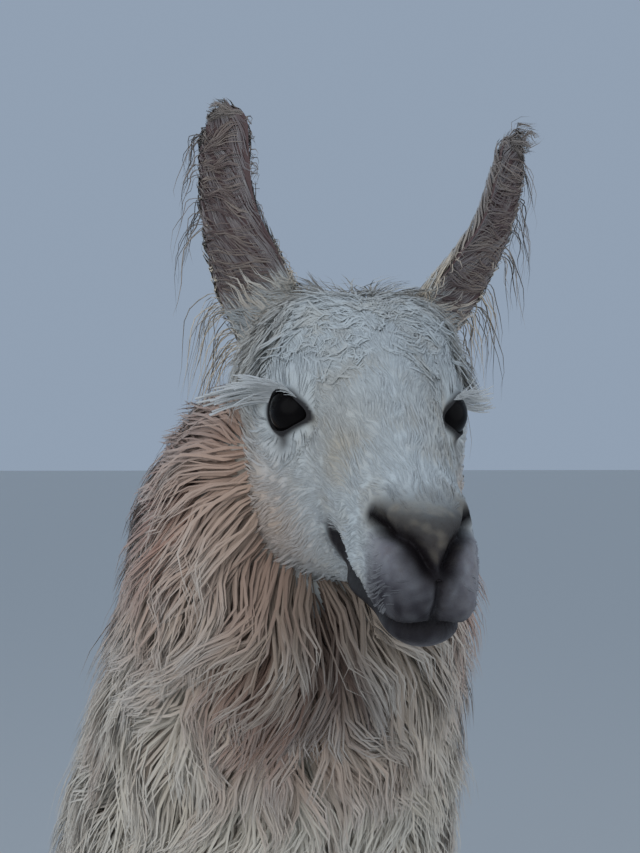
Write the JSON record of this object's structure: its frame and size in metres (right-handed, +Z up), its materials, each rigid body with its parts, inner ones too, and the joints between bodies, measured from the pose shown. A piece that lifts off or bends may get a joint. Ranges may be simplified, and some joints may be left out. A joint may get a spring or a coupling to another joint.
{
  "type": "llama",
  "caption": "Standing long-woolled adult llama, life size, looking slightly to its right with upright curved ears.",
  "frame": {"origin": "on the floor under the middle of the animal's bounding box", "axes": "+Z up, the llama faces -Y, its left side is +X"},
  "size_m": [0.5064, 1.7134, 1.84],
  "materials": {
    "fleece": "long wavy cream wool with browner depths and pale tips",
    "face": "short dense white hair",
    "ear": "short pinkish grey hair inside, white hair behind",
    "eye": "wet dark eyeball",
    "foot": "short pale hair over leathery toe pads",
    "nail": "dull dark horn"
  },
  "bodies": {
    "root": {"trunk": "fleece", "neck": "fleece", "tail": "fleece", "foreleg_left_upper": "fleece", "foreleg_right_upper": "fleece", "hindleg_left_upper": "fleece", "hindleg_right_upper": "fleece", "head": "face", "foreleg_left_lower": "face", "foreleg_right_lower": "face", "hindleg_left_lower": "face", "hindleg_right_lower": "face", "ear_left": "ear", "ear_right": "ear", "eye_left": "eye", "eye_right": "eye", "foreleg_left_foot": "foot", "foreleg_left_nail_left": "nail", "foreleg_left_nail_right": "nail", "foreleg_right_foot": "foot", "foreleg_right_nail_left": "nail", "foreleg_right_nail_right": "nail", "hindleg_left_foot": "foot", "hindleg_left_nail_left": "nail", "hindleg_left_nail_right": "nail", "hindleg_right_foot": "foot", "hindleg_right_nail_left": "nail", "hindleg_right_nail_right": "nail"}
  },
  "joints": []
}
